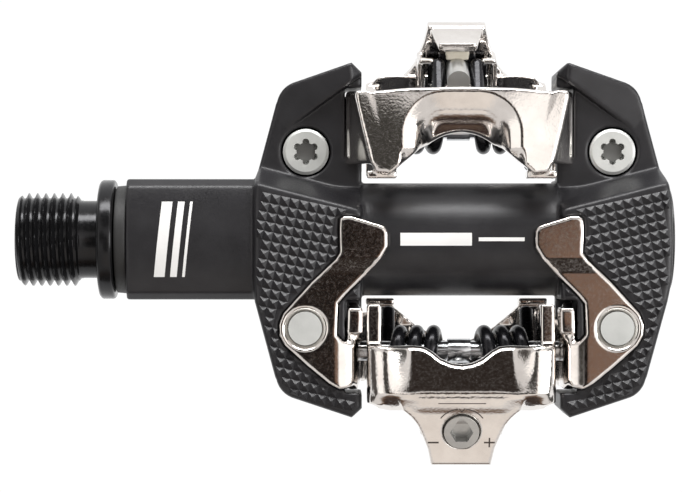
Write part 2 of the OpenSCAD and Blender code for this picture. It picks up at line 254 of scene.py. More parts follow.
def turn(v):
    """Half a turn about the spindle."""
    return v * np.array([1, -1, -1])


def mesh_object(name, v, faces, material, smooth=True):
    """An object from vertices in millimetres."""
    mesh = bpy.data.meshes.new(name)
    mesh.from_pydata((np.asarray(v) * MM).tolist(), [], [list(map(int, f)) for f in faces])
    mesh.validate()
    mesh.update()
    if smooth:
        mesh.polygons.foreach_set("use_smooth", [True] * len(mesh.polygons))
    ob = bpy.data.objects.new(name, mesh)
    bpy.context.scene.collection.objects.link(ob)
    ob.data.materials.append(material)
    return ob


def place(ob, body, slot, *nodes):
    """Rides a piece on its body and hides the CAD nodes that it stands for."""
    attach(ob, body)
    if nodes:
        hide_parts(*nodes)


# ---------- materials ----------

def new_material(name):
    m = bpy.data.materials.new(name)
    m.use_nodes = True
    return m, m.node_tree.nodes, m.node_tree.links, m.node_tree.nodes["Principled BSDF"]


def noise_at(nodes, links, scale, detail=3.0, stretch=(1, 1, 1)):
    """A noise texture fixed to the object, at features per metre."""
    where = nodes.new("ShaderNodeTexCoord")
    mapping = nodes.new("ShaderNodeMapping")
    mapping.inputs["Scale"].default_value = stretch
    noise = nodes.new("ShaderNodeTexNoise")
    noise.inputs["Scale"].default_value = scale
    noise.inputs["Detail"].default_value = detail
    links.new(where.outputs["Object"], mapping.inputs["Vector"])
    links.new(mapping.outputs["Vector"], noise.inputs["Vector"])
    return noise.outputs["Fac"]


def ramp(nodes, links, fac, stops):
    """A colour ramp over fac; a stop's colour is three numbers, or one for a grey."""
    r = nodes.new("ShaderNodeValToRGB")
    while len(r.color_ramp.elements) < len(stops):
        r.color_ramp.elements.new(0.5)
    for element, (place_at, colour) in zip(r.color_ramp.elements, stops):
        element.position = place_at
        element.color = tuple(colour) + (1,) if len(colour) == 3 else (colour[0],) * 3 + (1,)
    links.new(fac, r.inputs["Fac"])
    return r.outputs["Color"]


def bump(nodes, links, shader, height, strength, distance, after=None):
    """Bumps on the shader, on top of an earlier bump's normal where one is given."""
    b = nodes.new("ShaderNodeBump")
    b.inputs["Strength"].default_value = strength
    b.inputs["Distance"].default_value = distance
    links.new(height, b.inputs["Height"])
    if after is not None:
        links.new(after, b.inputs["Normal"])
    links.new(b.outputs["Normal"], shader.inputs["Normal"])
    return b.outputs["Normal"]


def metal(name, dark, light, rough, metallic=1.0, grain=900, rough_spread=0.06, bump_mm=0.002,
          stretch=(1, 1, 1), cloud=140, pits_from=None):
    """Metal with cloudy colour, uneven roughness and a fine grain, pitted beyond a height in mm."""
    pit_scale, pit_mm, pit_fade_mm = 2900, 0.03, 0.8
    m, nodes, links, shader = new_material(name)
    shader.inputs["Metallic"].default_value = metallic
    clouds = noise_at(nodes, links, cloud, 4)
    links.new(ramp(nodes, links, clouds, [(0.3, dark), (0.7, light)]), shader.inputs["Base Color"])
    fine = noise_at(nodes, links, grain, 4, stretch)
    low, high = max(rough - rough_spread, 0.02), rough + rough_spread
    links.new(ramp(nodes, links, fine, [(0.3, (low,)), (0.7, (high,))]), shader.inputs["Roughness"])
    normal = bump(nodes, links, shader, fine, 0.5, bump_mm * MM)
    if pits_from is not None:
        where = nodes.new("ShaderNodeTexCoord")
        split = nodes.new("ShaderNodeSeparateXYZ")
        links.new(where.outputs["Object"], split.inputs["Vector"])
        height = nodes.new("ShaderNodeMath")
        height.operation = "ABSOLUTE"
        links.new(split.outputs["Z"], height.inputs[0])
        beyond = nodes.new("ShaderNodeMapRange")
        beyond.inputs["From Min"].default_value = pits_from * MM
        beyond.inputs["From Max"].default_value = (pits_from + pit_fade_mm) * MM
        links.new(height.outputs["Value"], beyond.inputs["Value"])
        pits = nodes.new("ShaderNodeMath")
        pits.operation = "MULTIPLY"
        links.new(noise_at(nodes, links, pit_scale, 3), pits.inputs[0])
        links.new(beyond.outputs["Result"], pits.inputs[1])
        bump(nodes, links, shader, pits.outputs["Value"], 0.8, pit_mm * MM, normal)
    return m


MATERIALS = {
    "body": metal("body_anodised", (0.011, 0.0105, 0.0125), (0.019, 0.0185, 0.021), 0.38, 0.15,
                  grain=5200, rough_spread=0.1, bump_mm=0.014, cloud=260),
    "spindle": metal("spindle_plated", (0.012, 0.012, 0.013), (0.022, 0.022, 0.024), 0.2, 0.6,
                     grain=2600, bump_mm=0.002),
    "chrome": metal("claw_plated", (0.74, 0.70, 0.67), (0.86, 0.83, 0.80), 0.11, 1.0,
                    grain=2600, rough_spread=0.05, bump_mm=0.007, cloud=300, pits_from=9.9),
    "zinc": metal("screw_zinc", (0.52, 0.535, 0.52), (0.7, 0.71, 0.69), 0.46, 0.55,
                  grain=3200, bump_mm=0.02),
    "steel": metal("screw_alloy", (0.46, 0.46, 0.45), (0.62, 0.62, 0.6), 0.34, 0.9,
                   grain=1500, bump_mm=0.006),
    "spring": metal("spring_oxide", (0.006, 0.006, 0.008), (0.014, 0.014, 0.017), 0.24, 0.5,
                    grain=1800, bump_mm=0.004, stretch=(0.3, 1, 1)),
    "bearing": metal("bearing_ground", (0.55, 0.56, 0.58), (0.7, 0.71, 0.73), 0.22, 1.0),
    "cap": metal("cap_moulded", (0.02, 0.02, 0.022), (0.03, 0.03, 0.033), 0.4, 0.0,
                 grain=3500, bump_mm=0.01),
    "nut": metal("nut_passivated", (0.80, 0.75, 0.62), (0.95, 0.9, 0.78), 0.5, 0.1,
                 grain=3400, bump_mm=0.03),
    # painted shade: the dark grey of the discs that stand in for the shade in the screws' sockets
    "socket": metal("painted_socket_shade", (0.10, 0.10, 0.098), (0.17, 0.17, 0.165), 0.5, 0.3),
    "rubber": metal("seal_rubber", (0.014, 0.014, 0.014), (0.022, 0.022, 0.022), 0.55, 0.0,
                    grain=3000, bump_mm=0.01),
    # dark of the engraved marks, also used as painted shade along the tail's crease
    "mark": metal("engraving_and_crease_shade", (0.05, 0.04, 0.035), (0.09, 0.07, 0.06), 0.6, 0.0),
    "print": metal("white_print", (0.74, 0.74, 0.73), (0.82, 0.82, 0.81), 0.5, 0.0,
                   grain=4000, bump_mm=0.004),
}


# ---------- pedal body ----------

def arc(cx, cy, r, a0, a1, n):
    """n + 1 points of an arc, from a0 to a1 in degrees."""
    angles = [math.radians(a0 + (a1 - a0) * i / n) for i in range(n + 1)]
    return [(cx + r * math.cos(a), cy + r * math.sin(a)) for a in angles]


def wing_outline(bulge):
    """Outline of a wing in u and y, with the bulge at its outer edge."""
    half = [(WING_OUT + bulge, 0), (WING_OUT + 0.7 * bulge, 6), (30.6, 9.2), (27.6, 20.4)]
    half += arc(23.7, 20, 3.8, 12, 68, 6)
    half += [(16.2, WING_Y + 1.4), (WING_IN, WING_Y)]
    return half + [(u, -y) for u, y in reversed(half) if y > 0]


# outline of a tread plate with its tongue, in u and -y
TREAD = [
    (18, 3), (17.3, 3.46), (16.35, 3.46), (12.3, 2.26), (11.4, 1.9), (10.9, 1.17),
    (10.9, -1.2), (11.8, -2.7), (13.2, -4.3), (17.3, -8.4), (18.2, -9.5), (18.4, -14.1),
    (17.6, -15), (WALL_IN, -15.2), (WALL_IN, -21.4), (16.2, -22.2), (18, -22.2),
    (19.5, -21.4), (22.8, -18.7), (26.1, -15.7), (26.9, -14.3), (27, -12.6),
    (26.4, -11), (22.2, -6.35), (18.7, -3.05), (18, -1.96), (18.1, 1.35),
]
# the slanted step from the tread down to the pocket, and the pocket's rim
STEP_Y, STEP_RUN, STEP_TURN = 4.3, 2.5, math.radians(14.4)
RIM_FROM, RIM_TO, RIM_SLOPE = np.array([17.6, 22.5]), np.array([26.2, 16.3]), 0.176


def land_height(y):
    """Height of the tread: level in the middle and falling towards the tips."""
    level_to, run = 9, 17.9
    return np.minimum(LAND_Z, LAND_Z - (np.abs(y) - level_to) * (LAND_Z - TIP_Z) / run)


def wing_face(u, y, z, plan):
    """What the upper face's pocket takes from a wing, and the rim that stands beside it."""
    v = -(u - WING_IN) * math.sin(STEP_TURN) + (y - STEP_Y) * math.cos(STEP_TURN)
    drop = LAND_Z - POCKET_Z
    face = (v * drop + (z - LAND_Z) * STEP_RUN) / math.hypot(drop, STEP_RUN)
    removed = smax(POCKET_Z - z, -face, 0.5)
    # the rim runs between its two points, and its top rises towards the wing's tip
    along = (RIM_TO - RIM_FROM) / np.linalg.norm(RIM_TO - RIM_FROM)
    across = (u - RIM_FROM[0]) * -along[1] + (y - RIM_FROM[1]) * along[0]
    outward = (u - RIM_TO[0]) * along[0] + (y - RIM_TO[1]) * along[1]
    rim_top = z - POCKET_Z + np.minimum(outward, 0.5) * RIM_SLOPE
    facet_z, facet_sin, facet_cos = 3.4, 0.77, 0.64
    facet = (z - facet_z) * facet_sin - (u - WING_IN) * facet_cos
    rim = smax(smax(plan, -across, 0.12), smax(rim_top, facet, 0.2), 0.5)
    return removed, rim


def face_cuts(d, u, y, z):
    """Slot, screw hole and the lower face's tread recess of the front half."""
    slot_from, slot_to, step_from, step_to, step_z = 12.2, 22.8, 9, 13, -1
    d = cut(d, smax(slab(u, 0, SLOT_WALL), slab(y, slot_from, slot_to), 0.4), 0.35)
    # below, the slot reaches further towards the barrel
    step = smax(slab(u, 0, SLOT_WALL), slab(y, step_from, step_to), 0.4)
    d = cut(d, smax(step, z - step_z, 0.3), 0.3)
    head_floor = 0.15
    head = smax(disc(u, y, SCREW_U, SCREW_Y, HEAD_ROOM_R), head_floor - z, 0.1)
    d = cut(d, head, 0.25)
    d = cut(d, disc(u, y, SCREW_U, SCREW_Y, SCREW_HOLE_R), 0.15)
    lift = TONGUE_LIFT * (-y > TONGUE_Y)
    recess = smax(polygon(TREAD, u, -y) - 0.12, PLATE_TOP - PLATE_T - 0.1 + lift + z, 0.05)
    return cut(d, recess, 0.25)


def body_solid(x, y, z):
    """The whole pedal body: both wings, barrel, hub and neck, with its bore."""
    u = np.abs(x - XC)
    outer, inner = polygon(wing_outline(CAP_BULGE), u, y), polygon(wing_outline(0), u, y)
    plan = np.where(x > XC, outer, inner)
    wing = smax(plan, (np.abs(z) - land_height(y)), 1.0)
    upper_cut, upper_rim = wing_face(u, y, z, plan)
    lower_cut, lower_rim = wing_face(u, -y, -z, plan)
    wing = cut(cut(wing, upper_cut, 0.6), lower_cut, 0.6)
    # each rim only rises from its own pocket's floor
    wing = np.minimum(wing, smax(upper_rim, -z - 4, 0.3))
    wing = np.minimum(wing, smax(lower_rim, z - 4, 0.3))
    r = np.hypot(y, z)
    middle = smax(r - BARREL_R, slab(x, XC - WING_IN - 0.1, XC + WING_IN + 0.1), 0.1)
    hub_r, hub_from, neck_half, neck_to = 8.1, 24, 9, 26
    hub = smax(r - hub_r, slab(x, hub_from, BODY_HIGH[0] - 0.4), 0.4)
    flat = np.hypot(y, np.abs(z) + CROWN_R - CROWN_Z) - CROWN_R
    bevel = (np.abs(y) - 7.9) * 0.797 + (np.abs(z) - 6.85) * 0.604
    side = smax(np.abs(y) - neck_half, bevel, 0.15)
    neck = smax(smax(flat, side, 0.2), slab(x, BODY_LOW[0], neck_to), 0.4)
    d = smin(smin(wing, smin(middle, hub, 0.1), 0.5), neck, 0.3)
    bore_r = np.where(x < 45, 7.0, 7.78)
    bore_from, bore_to = 12, BODY_HIGH[0] - 0.95
    d = cut(d, smax(r - bore_r, np.minimum(x - bore_from, bore_to - x), 0.1), 0.25)
    return face_cuts(face_cuts(d, u, y, z), u, -y, -z)


def make_body():
    v, quads = net(body_solid, BODY_LOW - SPARE, BODY_HIGH + SPARE, 0.34)
    ob = mesh_object("body_shell", v, quads, MATERIALS["body"])
    place(ob, "pedal_body", "body_black", "pedal_body")


def make_knurl():
    """Rows of small pyramids on the treads of both faces."""
    across, along, tall, sunk, flat = 1.42, 1.38, 0.4, 0.2, 0.12
    tilt = math.radians(12)
    c, s = math.cos(tilt), math.sin(tilt)
    # room kept to the wing's edge, to the tread plate and to the slot
    margin, border, slot_room = 0.5, 0.25, 0.7
    # where the first row lies, and the line on which the step begins
    row_y, step_u, step_y = 4.6, 17.6, 4.75
    verts, faces = [], []
    cells = [(i, j) for i in range(-16, 38) for j in range(-28, 13)]
    i, j = np.array(cells).T
    corners = np.array([(-0.5, -0.5), (0.5, -0.5), (0.5, 0.5), (-0.5, 0.5)])

    def spot(a, b):
        """The place of row b, column a."""
        return WING_IN + a * across * c - b * along * s, row_y + a * across * s + b * along * c

    def keep_out(u, y, bulge):
        """How far a point lies outside the knurled field."""
        edge = polygon(wing_outline(bulge), u, y) + margin
        top = (y - step_y) * c - (u - step_u) * s
        plate = border - polygon(TREAD, u, y)
        slot = np.minimum(SLOT_WALL + slot_room - u, np.minimum(y + 23.3, -8.4 - y))
        inner = WING_IN + 0.6 - u
        return np.max([edge, top, plate, slot, inner], axis=0)

    for side in (-1, 1):
        bulge = CAP_BULGE if side > 0 else 0
        u0, y0 = spot(i, j)
        good = keep_out(u0, y0, bulge) < -0.12
        for a, b in zip(i[good], j[good]):
            u, y = spot(a + corners[:, 0], b + corners[:, 1])
            for _ in range(2):
                over = keep_out(u, y, bulge)
                gu = (keep_out(u + PROBE, y, bulge) - over) / PROBE
                gy = (keep_out(u, y + PROBE, bulge) - over) / PROBE
                push = np.maximum(over, 0)
                u, y = u - push * gu, y - push * gy
            mu, my = u.mean(), y.mean()
            z = land_height(y)
            size = max(np.ptp(u) * np.ptp(y) / (across * along), 0.1)
            rise = tall * min(size, 1) ** 0.5
            first = len(verts)
            x = XC + side * u
            tu = XC + side * (mu + (u - mu) * flat)
            ty = my + (y - my) * flat
            verts += list(zip(x, y, z - sunk)) + list(zip(x, y, z - 0.02))
            verts += list(zip(tu, ty, z + rise))
            ring = [[first + 4 * k + n for n in range(4)] for k in range(3)]
            quads = [ring[0][::-1], ring[2]]
            for k in (0, 1):
                for n in range(4):
                    m = (n + 1) % 4
                    quads.append([ring[k][n], ring[k][m], ring[k + 1][m], ring[k + 1][n]])
            if side < 0:
                quads = [q[::-1] for q in quads]
            faces += quads
    verts = np.array(verts)
    for name, v in (("knurl_top", verts), ("knurl_bottom", turn(verts))):
        ob = mesh_object(name, v, faces, MATERIALS["body"], smooth=False)
        place(ob, "pedal_body", "body_black")


# ---------- sprung claws ----------

# outline of the claw's head in u and y, and of half its tail in u and along the slope
HEAD = [
    (-4, -18.45), (0, -18.45), (1.5, -18.25), (3, -17.6), (4.4, -16.5), (5.6, -15.85), (7, -15.7),
    (13.4, -15.7), (EAR_OUT, -16.2), (EAR_OUT, -21.5), (13.4, -23.8), (12.2, -25),
    (10.6, -25.3), (9, -25.3), (-4, -25.3),
]
RIDGE_Y = -23.1
TAIL_HALF = [
    (-4, -5.6), (4.4, -5.6), (5, -2.83), (5.8, -0.65), (6.5, 0.98), (7.3, 2.1), (8, 2.8),
    (8.7, 3.4), (9, 5.4), (-4, 5.4),
]


def head_height(u, y):
    """Top of the claw's head: a ramp down to the lip between two raised shoulders."""
    ramp_fall, shoulder_fall, edge_fall, lobe_fall = 0.36, 0.06, 0.06, 0.75
    ahead = np.maximum(y - RIDGE_Y, 0)
    ramp_z = CLAW_TOP - 0.25 - ahead * ramp_fall
    edge = np.maximum(u - 11, 0) ** 2 * edge_fall
    shoulder = CLAW_TOP - 0.15 - edge - ahead * shoulder_fall
    top = ramp_z + (shoulder - ramp_z) * smooth_step(7.1, 11.2, u)
    # behind the ridge each shoulder ends in a lobe, and the middle runs on into the tail
    behind = np.maximum(RIDGE_Y + 0.4 - y, 0)
    lobe = top - lobe_fall * behind ** 1.1
    slope = TAIL[2] + (y - TAIL[1]) * TAIL_SIN / TAIL_COS
    return lobe + (smin(ramp_z, slope, 0.25) - lobe) * (1 - smooth_step(5.6, 8.6, u))


def claw_solid(x, y, z):
    """The upper sprung claw: head, two ears on the pivot, and a tail with its folded end."""
    u = np.abs(x - XC)
    top = head_height(u, y)
    plan = polygon(HEAD, u, y)
    lip_t, thicker = 1.25, 1.2
    thick = lip_t + thicker * smooth_step(-17, -21, y)
    d = smax(smax(plan, (z - top) * 0.92, 0.9), top - thick - z, 0.35)
    ear = polygon([
        (-9.7, 8), (-9.7, 6.4), (-13.2, 2.2), (-13.3, -0.4), (-15, -2.4), (-17.4, -2.9),
        (-19.8, -1.6), (-21, 1.4), (-22, 6), (-24.3, 9.4), (-24.3, 11.2), (-16.2, 11.4),
        (-15.3, 8.2)], y, z)
    ear = smax(ear, slab(u, EAR_IN, EAR_OUT), 0.45)
    d = smin(d, ear, 0.7)
    # bevel and round the outer corner between the head and the ears
    bevel = 1.35
    d = smax(d, u - EAR_OUT, 0.1)
    corner = (u - EAR_OUT + z - CLAW_TOP) / math.sqrt(2) + bevel
    d = smax(d, corner, 1.2)
    a, n = on_tail(y, z)
    tail = smax(polygon(TAIL_HALF, u, a), slab(n, -1.8, 0), 0.35)
    d = smin(d, tail, 0.6)
    # the tail's end is folded inwards, and narrows on the way
    fold_half, fold_narrows, fold_deep = 4.4, 1.5, 7
    fold = polygon([(-5.6, -0.4), (-4.3, -0.4), (-3.2, -7), (-4.4, -7)], a, n)
    fold = smax(fold, u - fold_half + fold_narrows * np.clip(-n / fold_deep, 0, 1), 0.5)
    d = smin(d, fold, 0.5)
    # cheeks bent down from the tail, with a foot turned inwards
    cheek = smin(block(u, a, n, (5.2, -1.2, -6.6), (6.1, 4.2, -1), 0.4),
                 block(u, a, n, (3.6, -1.9, -6.9), (5.9, -1.1, -5.7), 0.4), 0.3)
    d = smin(d, cheek, 0.3)
    pin_r, screw_head_r, screw_head_z, screw_r = 1.6, 2.8, -1, 1.9
    d = cut(d, disc(y, z, -PIVOT_Y, PIVOT_Z, pin_r), 0.2)
    screw = np.hypot(u, a)
    d = cut(d, smax(screw - screw_head_r, screw_head_z - n, 0.05), 0.2)
    return cut(d, smax(screw - screw_r, -3 - n, 0.05), 0.1)


def make_claws():
    low = np.array([XC - EAR_OUT, CLAW_LOW[1], CLAW_LOW[2]]) - SPARE
    high = np.array([XC + EAR_OUT, CLAW_HIGH[1], CLAW_TOP]) + SPARE
    v, quads = net(claw_solid, low, high, 0.24)
    top = mesh_object("sprung_claw_top", v, quads, MATERIALS["chrome"])
    place(top, "top_claw", "chrome", "top_claw")
    bottom = mesh_object("sprung_claw_bottom", turn(v), quads, MATERIALS["chrome"])
    place(bottom, "bottom_claw", "chrome", "bottom_claw")


# ---------- claw frames ----------

# outline of the fixed claw in u and y, and of a frame's arm in y and z
CLAW_PLAN = [(-4, 22.4), (0, 22.4), (8, 22.2), (15.2, 21.6), (15.8, 21.1), (13.4, 11.6),
             (12.9, 10.2), (12.3, 9.8), (10.6, 9.6), (6.1, 13.4)] + arc(0, 8.4, 7.4, 50, 115, 13)
ARM = [(12.5, 3.4), (21.8, 3.4), (22.3, 2), (22.3, -6.8), (21.4, -9.5), (15.2, -9.5),
       (14.4, -8.8), (10.4, -8.2), (9.4, -6.8), (9.6, -5.4), (12.5, -2.8)]


def fixed_claw(u, y, z):
    """The hook over the cleat's front: a crest around the arch, rolled down inwards to a lip."""
    corner, half_width, front = 6.4, 8.8, 21.8
    across, along = u - half_width + corner, y - front + corner
    out = np.hypot(np.maximum(across, 0), np.maximum(along, 0))
    out = out + np.minimum(np.maximum(across, along), 0) - corner
    inward = np.maximum(-out, 0)
    # inside the crest a sloping band, eased in at its edge
    band_fall, band_w, crest_ease = 0.45, 2.9, 0.2
    band = band_fall * np.minimum(inward, band_w) + 0.05 * np.clip(inward - band_w, 0, 1)
    ease = band_fall * crest_ease * (1 - np.exp(-inward / crest_ease))
    # past the band the surface rolls down towards the lip
    roll_from = 19.3
    back = np.maximum(roll_from - y, 0)
    roll = (0.46 * back + 0.1 * back ** 1.7) * smooth_step(1.6, 5.0, inward)
    # outside the crest the shoulders fall gently, and the inner feet fall towards the barrel
    side_fall, side_ease, foot_fall, foot_from = 0.16, 0.3, 0.65, 13.3
    outward = np.maximum(out, 0)
    shoulder = side_fall * outward * (1 - np.exp(-outward / side_ease))
    foot = foot_fall * np.maximum(foot_from - y, 0) * (1 - smooth_step(8.2, 9.4, u))
    drop = band - ease + roll
    top = CLAW_TOP - drop - shoulder - foot
    d = smax(polygon(CLAW_PLAN, u, y), (z - top) * 0.85, 0.5)
    thick_crest, thinned, over = 3.2, 2.2, 3
    thick = thick_crest - thinned * np.clip(drop / over, 0, 1)
    return smax(d, top - thick - z, 0.3)


def frame_solid(x, y, z):
    """The front claw frame: fixed claw above, arms through the slot, tread plates below."""
    u = np.abs(x - XC)
    claw = fixed_claw(u, y, z)
    # web from the claw's outer crease down to the arm
    edge = 13.0 + 2.5 * (y - 10) / 11.5
    run, web_top, drop = WALL_OUT - edge, CLAW_TOP - 1, 8.6
    web_t = 1.7
    outer = ((u - edge) * drop + (z - web_top) * run) / np.hypot(run, drop)
    sheet = smax(outer, -outer - web_t, 0.2)
    web = smax(sheet, smax(slab(y, 11.2, 21.8), slab(z, 1.8, web_top), 0.5), 0.4)
    arm = smax(polygon(ARM, y, z), slab(u, WALL_IN, WALL_OUT), 0.4)
    d = smin(smin(claw, web, 0.7), arm, 0.9)
    # pad at the foot of the arm, and the curled edge of the claw's foot
    d = smin(d, block(u, y, z, (14.6, 10.1, -8.8), (16.9, 15.4, -4.5), 0.5), 0.4)
    curl = block(u, y, z, (9.6, 9, 6.8), (14, 10.1, 11), 0.3)
    d = smin(d, curl, 0.5)
    lift = TONGUE_LIFT * np.clip((JOGGLE_Y - y) / JOGGLE_RUN, 0, 1)
    layer = slab(-z - lift, PLATE_TOP - PLATE_T, PLATE_TOP)
    d = smin(d, smax(polygon(TREAD, u, -y), layer, 0.34), 0.5)
    # the rounded bend between the arm and its plate, from bend_from forwards
    bend_from, bend_in = 14, 0.95
    bend = (WALL_IN - u - z - PLATE_TOP) / math.sqrt(2) + bend_in
    d = smax(d, np.where(y > bend_from, bend, -9.0), 1.6)
    pin_r, screw_r, sink_r, sink = 1.52, 2.55, 2.5, 0.75
    d = cut(d, disc(y, z, PIVOT_Y, -PIVOT_Z, pin_r), 0.1)
    r = disc(u, y, SCREW_U, SCREW_Y, 0)
    d = cut(d, smax(r - screw_r, z, 0.05), 0.1)
    return cut(d, smax((r - sink_r + (z + PLATE_TOP - sink)) * 0.707, z, 0.05), 0.12)


def make_frames():
    low_box, high_box = box_mm("front_claw_frame")
    v, quads = net(frame_solid, low_box - SPARE, high_box + SPARE, 0.27)
    front = mesh_object("front_frame", v, quads, MATERIALS["chrome"])
    place(front, "pedal_body", "chrome", "front_claw_frame")
    rear = mesh_object("rear_frame", turn(v), quads, MATERIALS["chrome"])
    place(rear, "pedal_body", "chrome", "rear_claw_frame")


# ---------- springs ----------

def spring_path():
    """Centre line of the right spring of the upper claw, from its claw leg to its frame leg."""
    claw_leg, frame_leg = 10, 8.2
    start, end = math.radians(240), math.radians(242 + 360 * COILS)
    steps = 150

    def at(x, a, on):
        """A point of the leg that leaves the coil at angle a, the distance on along it."""
        c, s = math.cos(a), math.sin(a)
        return x, COIL_R * c - on * s, COIL_R * s + on * c

    path = []
    for t in np.linspace(0, 1, 24, endpoint=False):
        path.append(at(COIL_IN, start, -claw_leg * (1 - t)))
    for k in range(steps + 1):
        u = COIL_IN + (COIL_OUT - COIL_IN) * k / steps
        path.append(at(u, start + (end - start) * k / steps, 0))
    for t in np.linspace(0, 1, 20)[1:]:
        path.append(at(COIL_OUT, end, frame_leg * t))
    return np.array(path)


def sweep(path, radius, sides=20):
    """A round wire along a path, with domed ends."""
    way = np.gradient(path, axis=0)
    way /= np.linalg.norm(way, axis=1)[:, None]
    s = np.cross(way, (1, 0, 0))
    s /= np.linalg.norm(s, axis=1)[:, None]
    w = np.cross(s, way)
    caps = [(-0.55, 0.5), (-0.35, 0.8), (-0.12, 0.96)]
    rings = [(path[0] + way[0] * radius * a, 0, b) for a, b in caps]
    rings += [(p, n, 1) for n, p in enumerate(path)]
    rings += [(path[-1] - way[-1] * radius * a, len(path) - 1, b) for a, b in reversed(caps)]
    verts = []
    for centre, n, share in rings:
        for k in range(sides):
            a = 2 * math.pi * k / sides
            verts.append(centre + radius * share * (math.cos(a) * s[n] + math.sin(a) * w[n]))
    faces = [list(range(sides)), list(range((len(rings) - 1) * sides, len(rings) * sides))[::-1]]
    for i in range(len(rings) - 1):
        for k in range(sides):
            m = (k + 1) % sides
            a, b = i * sides, (i + 1) * sides
            faces.append([a + k, b + k, b + m, a + m])
    return np.array(verts), faces


def make_springs():
    """Two springs for each sprung claw, set between the body and that claw."""
    path = spring_path()
    pairs = ((True, "top_claw", "rear_springs"), (False, "bottom_claw", "front_springs"))
    for upper, claw, node in pairs:
        for side, label in ((1, "outer"), (-1, "inner")):
            verts, faces = sweep(path, WIRE_R)
            verts = verts * np.array([side, 1, 1]) + np.array([XC, -PIVOT_Y, PIVOT_Z])
            faces = faces if side > 0 else [f[::-1] for f in faces]
            verts = verts if upper else turn(verts)
            name = f"{claw}_{label}_spring"
            ob = mesh_object(name, verts, faces, MATERIALS["spring"])
            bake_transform(ob)
            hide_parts(node)


# ---------- spindle ----------

def make_spindle():
    """The spindle as rings along X: a helical thread, neck, flange and seal seat."""
    around = 128
    pitch, crest, root = 1.27, 7.1, 6.25
    angle = np.arange(around) * 2 * math.pi / around
    tip = SPINDLE_LOW[0]

    def thread(x):
        """Radius of the threaded rod at x, for every angle."""
        turn_at = (x / pitch - angle / (2 * math.pi)) % 1
        flank, root_share = 2.6, 0.35
        ridge = np.clip((0.5 - np.abs(turn_at - 0.5)) * flank - root_share, 0, 1)
        r = root + (crest - root) * ridge
        start = np.interp(x, [tip, tip + 1.2], [6.3, 7.2])
        end = np.interp(x, [-3.9, -2.9], [7.2, 5.9])
        return np.minimum(np.minimum(r, start), end)

    flange, flange_w = 9.0, 2.4
    key_half, key_deep = 4.0, 7.0
    hexagon = key_half / np.cos((angle + math.pi / 6) % (math.pi / 3) - math.pi / 6)
    rings = [(tip + key_deep, np.full(around, 0.02))]
    rings += [(tip + key_deep - 0.05, hexagon * 0.98), (tip + key_deep - 0.1, hexagon)]
    rings += [(tip + 0.5, hexagon), (tip + 0.1, hexagon + 0.15), (tip, hexagon + 0.35)]
    rings += [(tip, np.full(around, 6.0)), (tip + 0.06, np.full(around, 6.2))]
    rings += [(x, thread(x)) for x in np.arange(tip + 0.12, -2.6, 0.06)]
    # x and radius of the turned part: groove, flange, seal seat, journals and locknut seat
    plain = [
        (-2.5, 5.85), (-0.2, 5.85), (0.3, 5.85), (0.3, 6.4), (0, 6.4), (0, 8.3), (0.06, 8.6),
        (0.3, 8.9), (0.55, flange), (1.95, flange), (2.2, 8.93), (2.36, 8.7), (flange_w, 8.4),
        (flange_w, 6.2), (flange_w + 0.1, 6), (5.9, 6), (5.95, 5.0), (19, 5.0), (20, 4.6),
        (69.95, 4.6), (70, 3.0), (83.7, 3.0), (84.1, 2.7), (84.2, 2.4), (84.2, 0.02),
    ]
    rings += [(x, np.full(around, r)) for x, r in plain]
    verts = []
    for x, r in rings:
        verts += [(x, a, b) for a, b in zip(r * np.cos(angle), r * np.sin(angle))]
    faces = [list(range(around))[::-1]]
    for i in range(len(rings) - 1):
        a, b = i * around, (i + 1) * around
        for k in range(around):
            m = (k + 1) % around
            faces.append([a + k, b + k, b + m, a + m][::-1])
    faces.append([(len(rings) - 1) * around + k for k in range(around)])
    ob = mesh_object("threaded_spindle", verts, faces, MATERIALS["spindle"])
    edges = ob.modifiers.new("edges", "EDGE_SPLIT")
    edges.split_angle = math.radians(50)
    place(ob, "spindle", "spindle_black", "spindle")


# ---------- tension plates ----------

def plate_solid(x, y, z):
    """The plate on the tension screw, under the tail, and wider towards the claw's head."""
    a, n = on_tail(y, z)
    u = np.abs(x - XC)
    d = smin(block(u, a, n, (-4, -2.2, -5.4), (2.8, 2.6, -3.7), 0.3),
             block(u, a, n, (-4, -0.6, -5.4), (4.5, 2.6, -3.7), 0.3), 0.1)
    screw_r = 1.83
    return cut(d, np.hypot(x - XC, a) - screw_r, 0.2)


def nose_solid(x, y, z):
    """The pale nose of a tension plate, which shows below the folded end of the tail."""
    a, n = on_tail(y, z)
    d = block(x - XC, a, n, (-1.75, -2.85, -5.9), (1.75, -2.16, -3.7), 0.45)
    return smin(d, block(x - XC, a, n, (-1.75, -2.85, -5.9), (1.75, -1.4, -5.36), 0.3), 0.3)


def make_tension_plates():
    low, high = box_mm("top_tension_plate")
    for name, solid, key, slot in (("tension_plate", plate_solid, "spring", "spring_black"),
                                   ("tension_nose", nose_solid, "nut", "nut_cream")):
        v, quads = net(solid, low - 0.4, high + 0.4, 0.16)
        nodes = (["top_tension_plate"], ["bottom_tension_plate"]) if key == "spring" else ([], [])
        top = mesh_object(name + "_top", v, quads, MATERIALS[key])
        place(top, "top_tension_plate", slot, *nodes[0])
        bottom = mesh_object(name + "_bottom", turn(v), quads, MATERIALS[key])
        place(bottom, "bottom_tension_plate", slot, *nodes[1])
